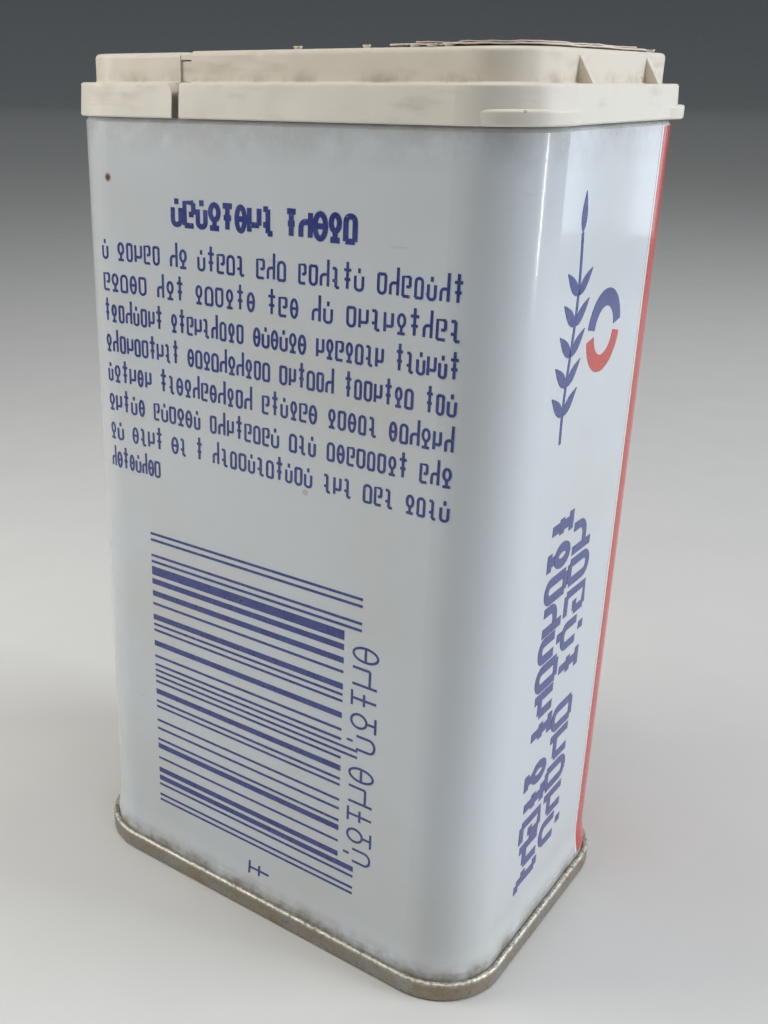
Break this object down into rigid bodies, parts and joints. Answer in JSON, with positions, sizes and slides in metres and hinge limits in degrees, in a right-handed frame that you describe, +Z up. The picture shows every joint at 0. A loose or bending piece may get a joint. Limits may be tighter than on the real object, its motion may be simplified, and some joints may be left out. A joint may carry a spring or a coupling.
{
  "type": "spice tin",
  "caption": "Oblong lithographed tinplate box with rounded corners, a double-seamed bottom and a snapped-on plastic cap whose lid flips up on a living hinge.",
  "frame": {"origin": "centre of the foot, on the surface that the tin stands on", "axes": "+Z up, wide panels facing -Y and +Y, narrow panels facing -X and +X, fixed third of the cap at the -X end, lid opening from the +X end"},
  "size_m": [0.0624, 0.044, 0.1066],
  "materials": {
    "lithographed_tinplate": "white enamel printed on tinplate, glossy, worn and faintly stained",
    "bare_tinplate": "bare tinplate, dulled and browned along the seam",
    "solder": "soft solder, dull",
    "sealing_compound": "lining compound, matte",
    "cap_polyethylene": "moulded polyethylene, off-white, satin"
  },
  "bodies": {
    "tin": {"can_body": "lithographed_tinplate", "side_seam_solder": "solder", "bottom_end": "bare_tinplate", "seam_compound": "sealing_compound", "cap_base": "cap_polyethylene", "living_hinge": "cap_polyethylene"},
    "lid": {"flip_lid": "cap_polyethylene"}
  },
  "joints": [
    {"name": "lid_hinge", "type": "hinge", "parent": "tin", "child": "lid", "pos_m": [-0.0112, 0, 0.10615], "axis": [0, -1, 0], "range_deg": [0, 125]}
  ]
}
